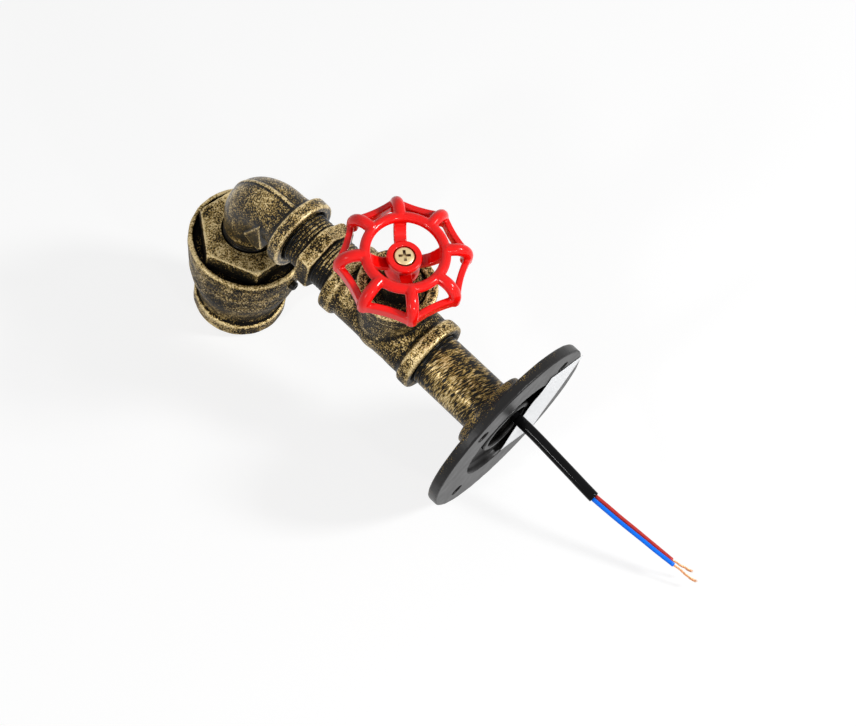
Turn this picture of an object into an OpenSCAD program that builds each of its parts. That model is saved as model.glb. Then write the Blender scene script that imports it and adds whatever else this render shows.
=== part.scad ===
// Wall light built from 3/4 inch pipe fittings, with a red handwheel.
// The wall is the plane y = 0 and the light stands out from it along -Y, +Z up.
// The pipe run lies on the Y axis, and distances from the wall are called a.

/* [Pipe run] */
// Outside diameter of the pipe
pipe_od = 26.9; // [25:0.1:29]
// Bore of the pipe and of the nipple
pipe_bore = 21.6; // [16:0.1:22.5]
// Depth by which a cut thread lies below the pipe's surface
thread_cut = 0.25; // [0.1:0.05:0.5]
// Radial gap between a male and a female thread
thread_gap = 0.05; // [0.02:0.01:0.1]
// Length of thread screwed into each run fitting
thread_grip = 11.5; // [8:0.5:13]
// Length of thread that shows outside the tee at the pipe
pipe_thread_out = 3; // [1:0.5:6]
// Distance from the wall to the near face of the tee
wall_to_tee = 48.2; // [42:0.1:80]

/* [Wall flange] */
// Outside diameter of the flange
flange_od = 95.2; // [88:0.1:110]
// Thickness of the flange's rim
flange_t = 5.2; // [4.5:0.1:8]
// Diameter of the hub where it leaves the plate
flange_hub_d = 41; // [38:0.5:48]
// Height of the hub above the plate
flange_hub_h = 5.8; // [4:0.1:10]
// Diameter of the dished recess in the back
flange_recess_d = 54.6; // [48:0.1:60]
// Depth of the recess's steep wall
flange_recess_wall = 2.8; // [1.5:0.1:3.2]
// Outside diameter of the threaded boss inside the recess
flange_boss_d = 30; // [29:0.1:34]
// Distance of the boss's end from the wall
flange_boss_inset = 1.5; // [0.5:0.1:2.5]
// Diameter of the circle that the fixing holes lie on
bolt_circle_d = 76.4; // [70:0.1:80]
// Diameter of each fixing hole
bolt_hole_d = 6.2; // [4:0.1:8]
// Number of fixing holes
bolt_count = 4; // [3:1:6]
// Angle of the first fixing hole
bolt_turn = 47; // [0:1:89]

/* [Castings] */
// Diameter of the bead round each threaded mouth
bead_d = 37; // [35:0.1:42]
// Width of the bead
bead_w = 6.6; // [5:0.1:9]
// Outside diameter of the castings between beads
body_d = 33; // [31:0.1:34]
// Diameter of the chamfered mouth of a run fitting
mouth_d = 30; // [28:0.1:31.5]
// Depth of the chamfered mouth
mouth_depth = 2.4; // [1:0.1:4]
// Rounding of casting edges
cast_edge = 1; // [0.4:0.1:1.4]
// Length of the tee from face to face
tee_run = 58; // [56:0.5:72]
// Distance from the run's axis to the face of the branch
tee_branch = 33; // [30:0.5:40]
// Lean of the branch from upright, towards +X
branch_lean = 4.3; // [0:0.1:20]
// Offset of the branch from the middle of the tee, towards the wall
branch_offset = 0.7; // [0:0.1:2]

/* [Hex nipple] */
// Size across the flats of the nipple's hexagon
nipple_af = 30; // [28.5:0.5:34]
// Width of the nipple's hexagon along the run
nipple_hex_w = 7.8; // [6:0.2:12]
// Thread that shows on the tee side
nipple_out_tee = 10.6; // [3:0.2:14]
// Thread that shows on the elbow side
nipple_out_elbow = 9.4; // [3:0.2:14]

/* [Elbow] */
// Distance from the elbow's threaded mouth to the lamp's axis
elbow_reach = 32.8; // [32:0.1:42]
// Distance from the run's axis down to the bushing's top face
elbow_drop = 33.5; // [32:0.1:44]
// Radius of the bend's centre line
elbow_bend_r = 19.5; // [18:0.5:21]
// Outside diameter of the bend
elbow_body_d = 27.6; // [27:0.1:30]
// Outside diameter of the elbow behind its bead
elbow_neck_d = 31; // [30:0.1:33]
// Bore of the bend
elbow_bore = 20; // [16:0.5:22]
// Length of the male thread inside the bushing
elbow_grip = 14; // [10:0.5:16]
// Width of the web in the inner corner, at the height of the run's axis
web_w = 27.6; // [8:0.1:28]
// Draft of the web's sides
web_draft = 4.9; // [0:0.1:6]
// Height of the seam left by the mould
seam_h = 0.5; // [0.2:0.1:0.8]
// Width of the seam
seam_w = 1.4; // [0.8:0.1:2.4]

/* [Bushing and bell] */
// Size across the flats of the bushing's head
bushing_af = 46; // [44:0.5:50]
// Height of the bushing's head
bushing_head_h = 11.5; // [9:0.5:14]
// Diameter of the bushing's thread
bushing_thread_d = 41.9; // [40:0.1:43]
// Length of the bushing's thread
bushing_thread_h = 12.5; // [10:0.5:13]
// Depth by which the bushing's head sits in the bell
bushing_sink = 3.9; // [2:0.1:6]
// Diameter of the bell at its upper rim
bell_d = 59.8; // [57:0.1:64]
// Diameter of the bead at the bell's mouth
bell_mouth_d = 48.2; // [46.5:0.1:52]
// Height of the bell
bell_h = 57.7; // [54:0.1:70]
// Height of the bead at the mouth
bell_bead_h = 8.6; // [5:0.1:9]
// Depth of the neck above the mouth's bead
bell_neck_in = 1.7; // [1:0.1:2]
// Wall of the bell at its mouth
bell_wall = 3.7; // [3:0.1:4.2]
// Diameter of the lock screw in the bell's side
lock_screw_d = 4.8; // [4:0.1:6]
// Length by which the lock screw's head stands out
lock_screw_out = 4.8; // [2:0.1:7]
// Distance from the bell's upper rim down to the lock screw
lock_screw_drop = 11.5; // [9:0.1:13.5]

/* [Handwheel] */
// Radius of the circle through the centre of the inner ring
ring_r = 17.6; // [16.5:0.1:19]
// Thickness of the inner ring
ring_t = 4.7; // [3.6:0.1:5.2]
// Height of the inner ring's centre above the hub's foot
ring_rise = 15.2; // [14:0.1:18]
// Number of arched arms
arm_count = 8; // [6:1:9]
// Thickness of each arched arm
arm_t = 5.5; // [4:0.1:6]
// Radius of the arm's bend
arm_bend_r = 7; // [3.5:0.1:8]
// Radius of the circle through the arms' outer ends
arm_end_r = 28.1; // [27:0.1:33]
// Offset of the rim bars' ends outwards from the arms' centres
rim_out = 1.1; // [0:0.1:1.5]
// Dip of each rim bar towards the hub, halfway between two arms
rim_dip = 1.2; // [0.5:0.1:2]
// Thickness of the rim bars
rim_t = 3; // [2:0.1:3.6]
// Height of the rim bars
rim_h = 5.2; // [2.5:0.1:6]
// Height of the rim's foot above the hub's foot
rim_rise = 4.8; // [2:0.1:8]
// Number of flat spokes
spoke_count = 4; // [2:1:5]
// Width of each spoke
spoke_w = 5.5; // [3.5:0.1:7]
// Thickness of each spoke
spoke_t = 2.4; // [1.6:0.1:3.2]
// Turn of the wheel on its stem
wheel_turn = 7; // [0:1:44]
// Height of the hub
hub_h = 12.2; // [11:0.1:15]
// Diameter of the collar at the top of the hub
hub_collar_d = 15.7; // [13.5:0.1:17]
// Diameter of the hub's waist
hub_waist_d = 13.2; // [12:0.1:14.5]
// Diameter of the hub's foot
hub_foot_d = 15.8; // [13.5:0.1:18]
// Diameter of the screw's head
wheel_screw_head_d = 9; // [7.5:0.1:10]
// Diameter of the screw's shank
wheel_screw_d = 4; // [3:0.1:4.2]

/* [Valve stem] */
// Diameter of the stem
stem_d = 8; // [7:0.1:9]
// Side of the square that drives the hub
stem_square = 6; // [5.2:0.1:6.4]
// Radial gap between the stem and what it turns in
stem_gap = 0.06; // [0.03:0.01:0.1]
// Free height between the gland nut and the hub
stem_show = 5.7; // [1:0.1:8]
// Depth of the plug's top below the branch's face
plug_inset = 1.6; // [0.5:0.1:3]
// Height of the plug
plug_h = 12.4; // [10:0.1:13.5]
// Diameter of the plug's threaded spigot
spigot_d = 13; // [12:0.1:14]
// Height of the spigot
spigot_h = 5.4; // [4:0.1:6.5]
// Size across the flats of the gland nut
gland_af = 17; // [16.5:0.5:19]
// Height of the gland nut
gland_h = 10; // [9:0.1:12]

/* [Lamp holder] */
// Radial gap between the lamp holder and the bell
holder_gap = 0.2; // [0.1:0.05:0.3]
// Height of the lamp holder's body
holder_h = 33.2; // [31:0.1:34.5]
// Inside diameter of the screw shell
shell_bore = 26.7; // [26.5:0.1:27]
// Wall of the screw shell
shell_t = 0.8; // [0.5:0.1:1]
// Depth of the socket from the holder's mouth to its floor
socket_depth = 24.5; // [22:0.1:25.5]
// Width of the sprung centre contact
contact_w = 7; // [5:0.1:9]
// Thickness of the centre contact
contact_t = 0.6; // [0.4:0.1:0.9]

/* [Supply cord] */
// Diameter of the black sheath
sheath_d = 5.3; // [4.5:0.1:6.5]
// Diameter of each insulated core
core_d = 2; // [1.8:0.1:2.2]
// Diameter of each bare strand bundle
strand_d = 1; // [0.8:0.1:1.4]

/* [Hidden] */
$fn = 64;
pipe_r = pipe_od / 2;
male_r = pipe_r - thread_cut;
female_r = male_r + thread_gap;
bead_r = bead_d / 2;
body_r = body_d / 2;
mouth_r = mouth_d / 2;
bore_r = pipe_bore / 2;
// wall a fitting keeps between its thread's end and its inner passage
step_w = 1.2;
passage_r = female_r - step_w;
elbow_body_r = elbow_body_d / 2;
elbow_neck_r = elbow_neck_d / 2;
// lowest point of the web and its distance from the elbow's mouth
web_low = 19.6;
web_out = 13.9;
web_top = 3.2;
face_gap = 0.1;

// places along the run, as distances from the wall
hub_end_a = flange_t + flange_hub_h;
pipe_start_a = flange_boss_inset + 2.2;
tee_centre_a = wall_to_tee + tee_run / 2 - branch_offset;
tee_far_a = wall_to_tee + tee_run;
pipe_end_a = wall_to_tee + thread_grip;
nipple_start_a = tee_far_a - thread_grip;
nipple_hex_a = tee_far_a + nipple_out_tee;
nipple_hex_end_a = nipple_hex_a + nipple_hex_w;
elbow_face_a = nipple_hex_end_a + nipple_out_elbow;
nipple_end_a = elbow_face_a + thread_grip;
lamp_a = elbow_face_a + elbow_reach;

// heights in the lamp's own frame, all below the run's axis
bushing_top_z = -elbow_drop;
bushing_foot_z = bushing_top_z - bushing_head_h;
bell_top_z = bushing_foot_z + bushing_sink;
bell_foot_z = bell_top_z - bell_h;
bushing_end_z = bushing_foot_z - bushing_thread_h;
bell_r = bell_d / 2;
bell_mouth_r = bell_mouth_d / 2;
bell_bore_r = bell_mouth_r - bell_wall;
bushing_male_r = bushing_thread_d / 2;
bushing_female_r = bushing_male_r + thread_gap;
// rim wall round the recess in the bell's top
rim_wall = 2.3;
shoulder_h = 3;
shoulder_top_z = bushing_end_z - 1;
shoulder_foot_z = shoulder_top_z - shoulder_h;
lock_screw_z = bell_top_z - lock_screw_drop;
lock_head_r = bell_r - 2.6;
lock_screw_turn = 96;
bushing_turn = -5.5;

// heights in the branch's own frame, measured out from the run's axis
plug_top_h = tee_branch - plug_inset;
plug_foot_h = plug_top_h - plug_h;
spigot_top_h = plug_top_h + spigot_h;
gland_foot_h = plug_top_h + 0.4;
gland_top_h = gland_foot_h + gland_h;
hub_foot_h = gland_top_h + stem_show;
hub_top_h = hub_foot_h + hub_h;
ring_h = hub_foot_h + ring_rise;
rim_foot_h = hub_foot_h + rim_rise;
stem_r = stem_d / 2;
collar_top_h = plug_foot_h - 0.4;
collar_h = 3.6;
square_h = hub_h - 4.2;
screw_seat_h = hub_top_h - 1.4;
screw_shank_l = 9;

// lamp holder
holder_r = bell_bore_r - holder_gap;
holder_top_z = shoulder_foot_z - face_gap;
holder_foot_z = holder_top_z - holder_h;
shell_in_r = shell_bore / 2;
shell_out_r = shell_in_r + shell_t;
socket_floor_z = holder_foot_z + socket_depth;
snap_t = 1.4;
snap_z = holder_foot_z - face_gap - snap_t;
snap_out_r = bell_bore_r + 0.9;
snap_in_r = bell_bore_r - 1.9;
pocket_r = 16;
pocket_depth = 5.5;
pocket_floor_z = holder_top_z - pocket_depth;
terminal_x = 8.5;
terminal_size = [6, 7, 4.4];
terminal_seat = 0.05;
contact_drop = 2.6;
contact_pivot = -7;
contact_reach = 4.5;
contact_foot_gap = 0.3;
// the shell's end plate lies clear below the contact, on a ledge in the holder
shell_top_z = socket_floor_z - 4.4;
shell_plate_r = 10.7;
ledge_gap = 0.1;

// route of the cord inside the run, from the elbow's mouth to the wall
pipe_route = [
    [0, -134, 0], [0, -122, 0], [-0.1, -110, 0], [-0.4, -98, 0], [-1, -86, 0.1],
    [-1.8, -74, 0.3], [-2.8, -62, 0.5], [-3.8, -50, 0.8], [-4.7, -38, 1.1], [-5.4, -26, 1.3],
    [-5.9, -14, 1.5], [-6.1, -1, 1.6]
];
// route of the cord's free end behind the wall face, and of its two cores and their strands
supply_route = [
    [-6.1, -1, 1.6], [-6.1, 7, 1.4], [-5.9, 14, 1.2], [-5.6, 21, 0.9], [-5.3, 28, 0.6],
    [-5, 35, 0.3], [-4.7, 42, -0.1], [-4.5, 49, -0.5]
];
red_route = [
    [-5.6, 49, -0.7], [-6.2, 56.5, -0.9], [-6.9, 64, -1.5], [-7.7, 71, -1.9], [-8.5, 78, -2.5],
    [-9.3, 85, -3.1], [-10.2, 92.8, -3.8]
];
blue_route = [
    [-3.4, 49, -0.3], [-3.9, 56.5, -0.5], [-4.6, 64, -0.9], [-5.4, 71, -1.3], [-6.3, 78, -1.8],
    [-7.1, 85, -2.3], [-8.1, 92, -2.8], [-8.5, 94.8, -3.1]
];
red_strand_route = [
    [-10.2, 92.8, -3.8], [-11, 95, -4], [-11.3, 97, -4.1], [-12.2, 99, -4.4],
    [-12.7, 101, -4.6], [-13.5, 102.8, -4.9]
];
blue_strand_route = [
    [-8.5, 94.8, -3.1], [-9.1, 97.3, -3.3], [-9.3, 99.6, -3.5], [-9.5, 102, -3.7],
    [-9.9, 104.2, -3.9], [-10.4, 106, -4.1], [-11, 107.2, -4.2]
];
// route of the cord inside the head, from the run's axis down to the holder
head_route = [
    [0, -134.3, 0], [0, -144, 0], [0, -152, -1.4], [0, -159, -5.5], [0, -164, -12],
    [0, -166.4, -20], [0, -166.8, -32], [0, -166.8, -46], [0, -166.8, -55]
];
sheath_sides = 10;
core_sides = 8;

// points of an arc about c, from angle a0 to a1
function arc(c, r, a0, a1, n = 5) = [
    for (i = [0 : n]) let (a = a0 + (a1 - a0) * i / n) c + r * [cos(a), sin(a)]
];
// a smooth step between two radii over two heights, as a half cosine
function ease(r0, z0, r1, z1, n = 8) = [
    for (i = [0 : n]) [r0 + (r1 - r0) * (1 - cos(180 * i / n)) / 2, z0 + (z1 - z0) * i / n]
];
function unit(v) = v / norm(v);
// ring of points round place p, square to direction t and counted from the direction across it
function ring_at(p, t, r, sides, across) =
    let (side = unit(cross(t, across)), up = cross(side, t))
    [for (k = [0 : sides - 1]) let (a = 360 * k / sides) p + r * (cos(a) * side + sin(a) * up)];

// a tube of round section along a route
module tube_along(route, d, sides, across = [0.3, 0, 1]) {
    n = len(route);
    rings = [
        for (i = [0 : n - 1])
            let (a = route[max(0, i - 1)], b = route[min(n - 1, i + 1)])
            each ring_at(route[i], unit(b - a), d / 2, sides, across)
    ];
    walls = [
        for (i = [0 : n - 2], k = [0 : sides - 1])
            let (m = (k + 1) % sides)
            [i * sides + k, i * sides + m, (i + 1) * sides + m, (i + 1) * sides + k]
    ];
    foot = [[for (k = [0 : sides - 1]) sides - 1 - k]];
    top = [[for (k = [0 : sides - 1]) (n - 1) * sides + k]];
    polyhedron(points = rings, faces = concat(walls, foot, top));
}

// stands children on the run's axis at distance a from the wall, their +Z away from the wall
module on_run(a = 0) {
    translate([0, -a, 0]) rotate([90, 0, 0]) children();
}
// stands children on the branch's axis
module on_branch() {
    translate([0, -tee_centre_a, 0]) rotate([0, branch_lean, 0]) children();
}
// stands children on the lamp's axis
module on_lamp() {
    translate([0, -lamp_a, 0]) children();
}
// hexagonal prism with chamfered corners, af across the flats
module hex_bar(af, h, chamfer = 1, turn = 30) {
    corner_r = af / 2 / cos(30);
    spare = 0.2;
    intersection() {
        rotate(turn) cylinder(r = corner_r, h = h, $fn = 6);
        rotate_extrude()
            polygon([[0, 0], [corner_r - chamfer, 0], [corner_r + spare, chamfer + spare],
                     [corner_r + spare, h - chamfer - spare], [corner_r - chamfer, h], [0, h]]);
    }
}
// bead at the end of a casting: its face at z = 0, its neck blending into the body below
module bead(neck_r = body_r) {
    e = cast_edge;
    rotate_extrude()
        polygon(concat(
            [[0, 0]],
            arc([bead_r - e, -e], e, 90, 0),
            arc([bead_r - e, -bead_w + e], e, 0, -60),
            [[neck_r, -bead_w - 1.4], [0, -bead_w - 1.4]]));
}
// what a threaded mouth takes out of a casting: chamfer, thread and step, down from z = 0
module mouth(depth, chamfer_r = mouth_r, chamfer_h = mouth_depth) {
    rotate_extrude()
        polygon([[0, 0.1], [chamfer_r, 0.1], [chamfer_r, 0], [female_r, -chamfer_h],
                 [female_r, -depth], [0, -depth]]);
}

module wall_flange() {
    r = flange_od / 2;
    rr = flange_recess_d / 2;
    br = flange_boss_d / 2;
    hr = flange_hub_d / 2;
    color("#4b4a48") on_run() difference() {
        rotate_extrude($fn = 96)
            polygon(concat(
                [[female_r, hub_end_a - 0.8], [female_r + 0.8, hub_end_a]],
                arc([pipe_r + 2.2, hub_end_a - 1], 1, 90, 20),
                ease(pipe_r + 3.5, hub_end_a - 1.8, hr, flange_t + 0.9, 6),
                [[hr + 0.9, flange_t]],
                arc([r - 0.8, flange_t - 0.8], 0.8, 90, 0),
                arc([r - 0.5, 0.5], 0.5, 0, -90, 3),
                [[rr, 0], [rr - 0.7, flange_recess_wall]],
                ease(rr - 1.3, flange_recess_wall + 0.7, br + 1.2, flange_t - 0.4, 6),
                [[br, flange_t - 0.8], [br, flange_boss_inset + 0.5],
                 [br - 0.5, flange_boss_inset], [passage_r + 0.4, flange_boss_inset],
                 [passage_r, flange_boss_inset + 0.4], [passage_r, pipe_start_a - face_gap],
                 [female_r, pipe_start_a - face_gap]]));
        for (k = [0 : bolt_count - 1])
            rotate(bolt_turn + 360 * k / bolt_count)
                translate([bolt_circle_d / 2, 0, -1])
                    cylinder(d = bolt_hole_d, h = flange_t + 2);
    }
}

module wall_nipple() {
    color("#8a7a52") on_run() rotate_extrude()
        polygon([[bore_r, pipe_start_a], [male_r - 0.6, pipe_start_a],
                 [male_r, pipe_start_a + 0.6], [male_r, hub_end_a], [pipe_r, hub_end_a + 0.4],
                 [pipe_r, wall_to_tee - pipe_thread_out - 0.4],
                 [male_r, wall_to_tee - pipe_thread_out], [male_r, pipe_end_a - 0.6],
                 [male_r - 0.6, pipe_end_a], [bore_r, pipe_end_a]]);
}

module tee() {
    half = tee_run / 2;
    grip = thread_grip + 1.5;
    color("#6f6650") difference() {
        union() {
            on_run(wall_to_tee) cylinder(r = body_r, h = tee_run);
            translate([0, -wall_to_tee, 0]) rotate([-90, 0, 0]) bead();
            on_run(tee_far_a) bead();
            on_branch() cylinder(r = body_r, h = tee_branch - 1);
            on_branch() translate([0, 0, tee_branch]) bead();
            translate([0, -tee_centre_a, 0]) sphere(r = body_r + 0.6);
        }
        on_run(wall_to_tee - 1) cylinder(r = passage_r, h = tee_run + 2);
        on_branch() cylinder(r = passage_r, h = tee_branch + 1);
        translate([0, -wall_to_tee, 0]) rotate([-90, 0, 0]) mouth(grip);
        on_run(tee_far_a) mouth(grip);
        on_branch() translate([0, 0, tee_branch])
            mouth(plug_inset + plug_h + 0.6, female_r + 0.9, 0.9);
    }
}

module branch_plug() {
    color("#2b2927") on_branch() difference() {
        rotate_extrude()
            polygon([[0, plug_foot_h], [male_r - 0.8, plug_foot_h], [male_r, plug_foot_h + 0.8],
                     [male_r, plug_top_h - 0.6], [male_r - 0.6, plug_top_h],
                     [spigot_d / 2, plug_top_h], [spigot_d / 2, spigot_top_h - 0.4],
                     [spigot_d / 2 - 0.4, spigot_top_h], [0, spigot_top_h]]);
        translate([0, 0, plug_foot_h - 1]) cylinder(r = stem_r + stem_gap, h = 40);
        translate([0, 0, plug_top_h - 1]) cylinder(r = stem_r + 1.4, h = 40);
    }
}

module stem_packing() {
    color("#b9b2a0") on_branch() translate([0, 0, plug_top_h - 1]) difference() {
        cylinder(r = stem_r + 1.35, h = spigot_h);
        translate([0, 0, -1]) cylinder(r = stem_r + stem_gap, h = spigot_h + 2);
    }
}

module gland_nut() {
    color("#4a4640") on_branch() translate([0, 0, gland_foot_h]) difference() {
        hex_bar(gland_af, gland_h, 0.9, 12);
        translate([0, 0, -1]) cylinder(r = spigot_d / 2 + thread_gap, h = spigot_h + 1.6);
        translate([0, 0, -1]) cylinder(r = stem_r + stem_gap, h = gland_h + 2);
    }
}

module valve_stem() {
    color("#8d8878") on_branch() difference() {
        union() {
            translate([0, 0, collar_top_h - collar_h]) rotate_extrude()
                polygon([[0, 0], [stem_r + 2.2, 0], [stem_r + 3, 0.8], [stem_r + 3, collar_h],
                         [0, collar_h]]);
            translate([0, 0, collar_top_h - 1])
                cylinder(r = stem_r, h = hub_foot_h - collar_top_h + 1);
            rotate(wheel_turn) translate([-stem_square / 2, -stem_square / 2, hub_foot_h - 1])
                cube([stem_square, stem_square, square_h]);
        }
        translate([0, 0, hub_foot_h - 3])
            cylinder(d = wheel_screw_d + 2 * thread_gap, h = square_h + 6);
    }
}

// outline of the hub from its foot to its collar, with the screw's seat on top
module hub() {
    foot_r = hub_foot_d / 2;
    waist_r = hub_waist_d / 2;
    collar_r = hub_collar_d / 2;
    rotate_extrude()
        polygon(concat(
            [[0, 0], [foot_r - 0.5, 0], [foot_r, 0.5], [foot_r, 1.6]],
            ease(foot_r - 0.1, 2, waist_r, hub_h - 5.4, 6),
            [[waist_r, hub_h - 3.2], [collar_r - 0.3, hub_h - 2.6], [collar_r, hub_h - 2.2]],
            arc([collar_r - 0.8, hub_h - 0.8], 0.8, 0, 90, 4),
            [[wheel_screw_head_d / 2 + 0.4, hub_h], [wheel_screw_head_d / 2 + 0.4, hub_h - 1.4],
             [0, hub_h - 1.4]]));
}

// one arched arm: out from the ring, over the bend and down to the rim
module arm() {
    flat_l = arm_end_r - arm_bend_r - ring_r;
    translate([ring_r, 0, ring_rise]) rotate([0, 90, 0]) cylinder(d = arm_t, h = flat_l);
    translate([arm_end_r - arm_bend_r, 0, ring_rise - arm_bend_r]) rotate([90, 0, 0])
        rotate_extrude(angle = 90) translate([arm_bend_r, 0]) circle(d = arm_t, $fn = 32);
    translate([arm_end_r, 0, rim_rise]) cylinder(d = arm_t, h = ring_rise - arm_bend_r - rim_rise);
}

// one rim bar between two arms, an arc that dips towards the hub
module rim_bar() {
    half_turn = 180 / arm_count;
    end_r = arm_end_r + rim_out;
    half_chord = end_r * sin(half_turn);
    arc_r = (half_chord * half_chord + rim_dip * rim_dip) / (2 * rim_dip);
    sweep = 2 * asin(half_chord / arc_r);
    centre_r = end_r * cos(half_turn) - rim_dip + arc_r;
    e = 0.7;
    rotate(half_turn) translate([centre_r, 0, rim_rise]) rotate(180 - sweep / 2)
        rotate_extrude(angle = sweep, $fn = 180)
            translate([arc_r - rim_t / 2, 0])
                polygon(concat(
                    [[0, 0], [rim_t, 0]],
                    arc([rim_t - e, rim_h - e], e, 0, 90, 3),
                    arc([e, rim_h - e], e, 90, 180, 3)));
}

// one flat spoke, from the waist of the hub up into the ring
module spoke() {
    z0 = hub_h - 6;
    z1 = ring_rise - ring_t / 2 + 0.8;
    rise = z1 - z0;
    r0 = hub_waist_d / 2 - 1.4;
    r1 = ring_r - 0.3;
    t = spoke_t;
    translate([0, spoke_w / 2, 0]) rotate([90, 0, 0]) linear_extrude(spoke_w)
        polygon(concat(
            [for (i = [0 : 8]) let (s = i / 8)
                [r0 + (r1 + t / 2 - r0) * s, z0 - t / 2 + rise * pow(s, 3)]],
            [for (i = [8 : -1 : 0]) let (s = i / 8)
                [r0 + (r1 - t / 2 - r0) * s, z0 + t / 2 + rise * pow(s, 3)]]));
}

module handwheel() {
    color("#d8201c") on_branch() rotate(wheel_turn) translate([0, 0, hub_foot_h]) difference() {
        union() {
            hub();
            translate([0, 0, ring_rise]) rotate_extrude($fn = 96)
                translate([ring_r, 0]) circle(d = ring_t, $fn = 32);
            for (k = [0 : arm_count - 1]) rotate(360 * k / arm_count) {
                arm();
                rim_bar();
            }
            for (k = [0 : spoke_count - 1])
                rotate(360 * (k + 0.5) / spoke_count) spoke();
        }
        translate([-stem_square / 2 - 0.05, -stem_square / 2 - 0.05, -1])
            cube([stem_square + 0.1, stem_square + 0.1, square_h + 0.1]);
        cylinder(d = wheel_screw_d + 0.3, h = hub_h + 1);
    }
}

module wheel_screw() {
    head_r = wheel_screw_head_d / 2;
    head_h = 1.9;
    cross_l = 0.6 * wheel_screw_head_d;
    cross_w = 1.3;
    color("#d9b36a") on_branch() rotate(wheel_turn) translate([0, 0, screw_seat_h]) difference() {
        union() {
            translate([0, 0, -screw_shank_l]) cylinder(d = wheel_screw_d, h = screw_shank_l + 0.5);
            rotate_extrude()
                polygon(concat([[0, 0], [head_r - 0.2, 0], [head_r, 0.2]],
                    arc([head_r - 0.9, head_h - 1.1], 0.9, 0, 70, 4),
                    [[head_r - 1.6, head_h - 0.05], [0, head_h]]));
        }
        for (turn = [0, 90]) rotate(turn + 45)
            translate([-cross_l / 2, -cross_w / 2, head_h - 1.4]) cube([cross_l, cross_w, 2]);
    }
}

module hex_nipple() {
    color("#6a624c") on_run() difference() {
        union() {
            rotate_extrude()
                polygon([[0, nipple_start_a], [male_r - 0.6, nipple_start_a],
                         [male_r, nipple_start_a + 0.6], [male_r, nipple_end_a - 0.6],
                         [male_r - 0.6, nipple_end_a], [0, nipple_end_a]]);
            translate([0, 0, nipple_hex_a]) hex_bar(nipple_af, nipple_hex_w, 0.9, 30);
        }
        translate([0, 0, nipple_start_a - 1])
            cylinder(r = bore_r, h = nipple_end_a - nipple_start_a + 2);
    }
}

module street_elbow() {
    bend_a = lamp_a - elbow_bend_r;
    end_z = bushing_top_z - elbow_grip;
    neck_z = -elbow_bend_r;
    color("#77705a") difference() {
        union() {
            on_run(elbow_face_a + 1)
                cylinder(r1 = elbow_neck_r, r2 = elbow_body_r, h = bend_a - elbow_face_a - 1);
            translate([0, -elbow_face_a, 0]) rotate([-90, 0, 0]) bead(elbow_neck_r - 0.4);
            elbow_bend(elbow_body_r);
            on_lamp() rotate_extrude()
                polygon([[0, neck_z], [elbow_body_r, neck_z], [pipe_r, neck_z - 5],
                         [pipe_r, bushing_top_z + 5], [male_r, bushing_top_z + 4.4],
                         [male_r, end_z + 0.6], [male_r - 0.6, end_z], [0, end_z]]);
            corner_web();
            mould_seam(bend_a);
        }
        on_run(elbow_face_a - 1) cylinder(r = elbow_bore / 2, h = bend_a - elbow_face_a + 1);
        elbow_bend(elbow_bore / 2);
        on_lamp() translate([0, 0, end_z - 1]) cylinder(d = elbow_bore, h = neck_z - end_z + 1);
        translate([0, -elbow_face_a, 0]) rotate([-90, 0, 0]) mouth(thread_grip + 0.5);
    }
}
// quarter ring that turns the run down onto the lamp's axis
module elbow_bend(section_r) {
    translate([0, -(lamp_a - elbow_bend_r), -elbow_bend_r]) rotate([180, -90, 0])
        rotate_extrude(angle = 90) translate([elbow_bend_r, 0]) circle(r = section_r);
}
// web that stiffens the inner corner of the elbow: a triangle with drafted sides
module corner_web() {
    near_a = elbow_face_a + web_out;
    foot = -web_low - 2;
    foot_r = web_w / 2 + foot * tan(web_draft);
    top_r = web_w / 2 + web_top * tan(web_draft);
    intersection() {
        translate([-web_w, 0, 0]) rotate([90, 0, 90]) linear_extrude(2 * web_w)
            polygon([[-near_a, -web_low + 4], [-near_a - 2, -web_low + 1], [-near_a - 6.5, -web_low + 0.4],
                     [-near_a - 12, -web_low + 3.7], [-near_a - 2.2, web_top]]);
        translate([0, -elbow_face_a, 0]) rotate([90, 0, 0]) linear_extrude(elbow_reach)
            polygon([[-foot_r, foot], [foot_r, foot], [top_r, web_top], [-top_r, web_top]]);
    }
}
// seam that runs along the back of the bend
module mould_seam(bend_a) {
    out_r = elbow_body_r + seam_h;
    reach = 2 * elbow_reach;
    intersection() {
        translate([-seam_w / 2, -bend_a - reach, -elbow_bend_r - reach]) cube([seam_w, 2 * reach, 2 * reach]);
        union() {
            elbow_bend(out_r);
            on_run(elbow_face_a + 1)
                cylinder(r1 = elbow_neck_r + seam_h, r2 = out_r, h = bend_a - elbow_face_a - 1);
        }
    }
}

module hex_bushing() {
    color("#74694c") on_lamp() difference() {
        union() {
            translate([0, 0, bushing_foot_z]) hex_bar(bushing_af, bushing_head_h, 1.4, bushing_turn);
            translate([0, 0, bushing_end_z]) rotate_extrude()
                polygon([[0, 0], [bushing_male_r - 0.8, 0], [bushing_male_r, 0.8],
                         [bushing_male_r, bushing_thread_h + 1], [0, bushing_thread_h + 1]]);
        }
        translate([0, 0, bushing_top_z]) mouth(elbow_grip + 1, male_r + 1, 1.6);
        translate([0, 0, bushing_end_z - 1]) cylinder(r = passage_r, h = 60);
    }
}

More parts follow.
